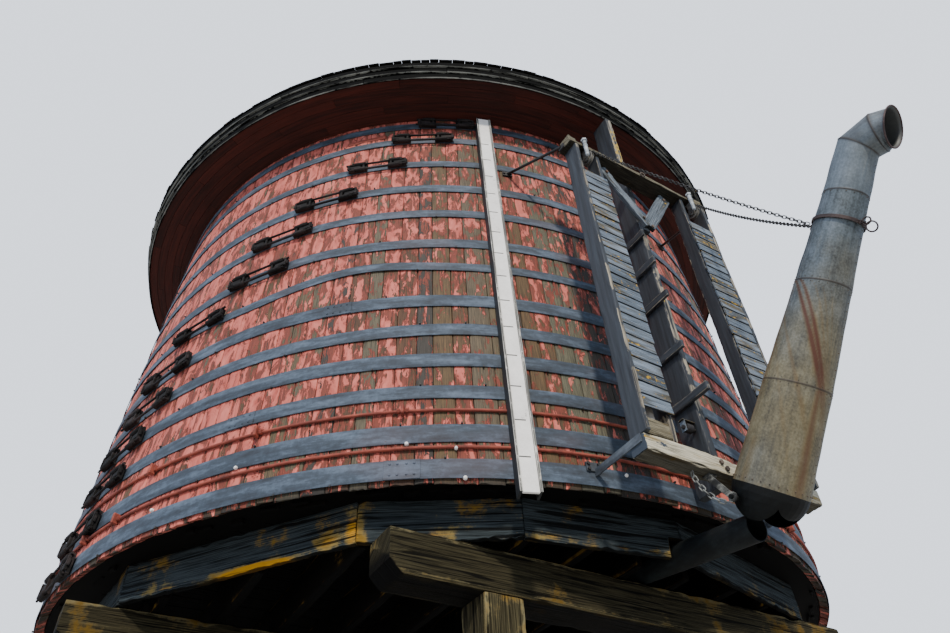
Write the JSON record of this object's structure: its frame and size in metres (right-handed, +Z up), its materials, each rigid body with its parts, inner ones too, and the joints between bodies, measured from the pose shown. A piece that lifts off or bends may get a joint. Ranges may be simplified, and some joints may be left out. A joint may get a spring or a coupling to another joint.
{
  "type": "railway water tower",
  "caption": "Wooden railway water tank on timber bents, with steel hoops, a conical roof, a gauge board and a counterweighted spout that swings down to fill an engine.",
  "frame": {"origin": "on the ground, in the middle of the tower's bounding box; the tank's upright axis is at x = 0, y = 1.078 m", "axes": "+Z up; -Y is the way the spout points; +X is to the right of someone who faces the tank and the spout"},
  "size_m": [8.032, 10.1871, 11.14],
  "materials": {
    "cap_timber": "rough sawn heavy timber, tarred brown-black, with dry cracks and ochre bare patches",
    "painted_staves": "upright staves, brick-red paint peeling to salmon and bare brown-olive wood",
    "hoop_steel": "flat steel bands, worn blue-grey paint with rust at the edges",
    "red_rods": "round rods in red-brown paint",
    "soffit_boards": "dark red-brown painted boards",
    "slate_boards": "dark slate paint on planed boards, worn pale at the edges",
    "grey_timber": "bare weathered timber, silver-grey to tan, with lichen",
    "roof_shingles": "weathered black-brown split shingles",
    "white_board": "white painted board with plain dark marks, grey rails",
    "galvanised_sheet": "riveted galvanised sheet, tan grime and orange rust runs",
    "black_iron": "dark iron, dull, rust in the corners"
  },
  "bodies": {
    "root": {"bent_outer_front": "cap_timber", "bent_inner_front": "cap_timber", "bent_inner_rear": "cap_timber", "bent_outer_rear": "cap_timber", "joist_frame": "cap_timber", "tank_floor": "cap_timber", "stave_wall_1": "painted_staves", "stave_wall_2": "painted_staves", "stave_wall_3": "painted_staves", "stave_wall_4": "painted_staves", "stave_wall_5": "painted_staves", "stave_wall_6": "painted_staves", "hoop_01": "hoop_steel", "hoop_02": "hoop_steel", "hoop_03": "hoop_steel", "hoop_04": "hoop_steel", "hoop_05": "hoop_steel", "hoop_06": "hoop_steel", "hoop_07": "hoop_steel", "hoop_08": "hoop_steel", "hoop_09": "hoop_steel", "hoop_10": "hoop_steel", "hoop_11": "hoop_steel", "hoop_12": "hoop_steel", "hoop_13": "hoop_steel", "rod_hoop_1": "red_rods", "rod_hoop_2": "red_rods", "eave_soffit": "soffit_boards", "eave_fascia": "slate_boards", "roof": "roof_shingles", "gauge_board": "white_board", "frame_beam": "grey_timber", "ladder_mast": "slate_boards", "frame_top_plank": "grey_timber", "left_weight_box": "slate_boards", "right_weight_box": "slate_boards", "v_brace": "grey_timber", "right_strap_stay": "black_iron", "left_strap_stay": "black_iron", "right_bar_stay": "black_iron", "left_bar_stay": "black_iron", "left_sheave_fork": "black_iron", "right_sheave_fork": "black_iron", "left_weight_chain": "black_iron", "right_weight_chain": "black_iron", "left_lifting_chain": "black_iron", "right_lifting_chain": "black_iron", "outlet_pipe": "black_iron", "right_hanger": "black_iron", "left_hanger": "black_iron", "safety_chain": "black_iron"},
    "spout": {"spout_barrel": "galvanised_sheet", "spout_head": "galvanised_sheet", "spout_boot": "black_iron", "spout_collar": "black_iron"},
    "left_sheave": {"left_sheave": "black_iron"},
    "right_sheave": {"right_sheave": "black_iron"},
    "left_counterweight": {"left_counterweight": "black_iron"},
    "right_counterweight": {"right_counterweight": "black_iron"}
  },
  "joints": [
    {"name": "spout_hinge", "type": "hinge", "parent": "root", "child": "spout", "pos_m": [0, -3.1195, 3.892], "axis": [1, 0, 0], "range_deg": [0, 60]},
    {"name": "left_weight_slide", "type": "slide", "parent": "root", "child": "left_counterweight", "axis": [0, 0, 1], "range_m": [0, 1.87], "deforming": ["left_weight_chain"]},
    {"name": "right_weight_slide", "type": "slide", "parent": "root", "child": "right_counterweight", "axis": [0, 0, 1], "range_m": [0, 1.87], "deforming": ["right_weight_chain"]},
    {"name": "left_sheave_spin", "type": "hinge", "parent": "root", "child": "left_sheave", "pos_m": [-0.66, -3.042, 7.365], "axis": [1, 0, 0], "range_deg": [0, 1360]},
    {"name": "right_sheave_spin", "type": "hinge", "parent": "root", "child": "right_sheave", "pos_m": [0.66, -3.042, 7.365], "axis": [1, 0, 0], "range_deg": [0, 1360]}
  ],
  "couplings": [
    {"joint": "left_weight_slide", "follows": "spout_hinge", "m_per_rad": 1.7838},
    {"joint": "right_weight_slide", "follows": "spout_hinge", "m_per_rad": 1.7838},
    {"joint": "left_sheave_spin", "follows": "spout_hinge", "ratio": 22.58},
    {"joint": "right_sheave_spin", "follows": "spout_hinge", "ratio": 22.58}
  ]
}
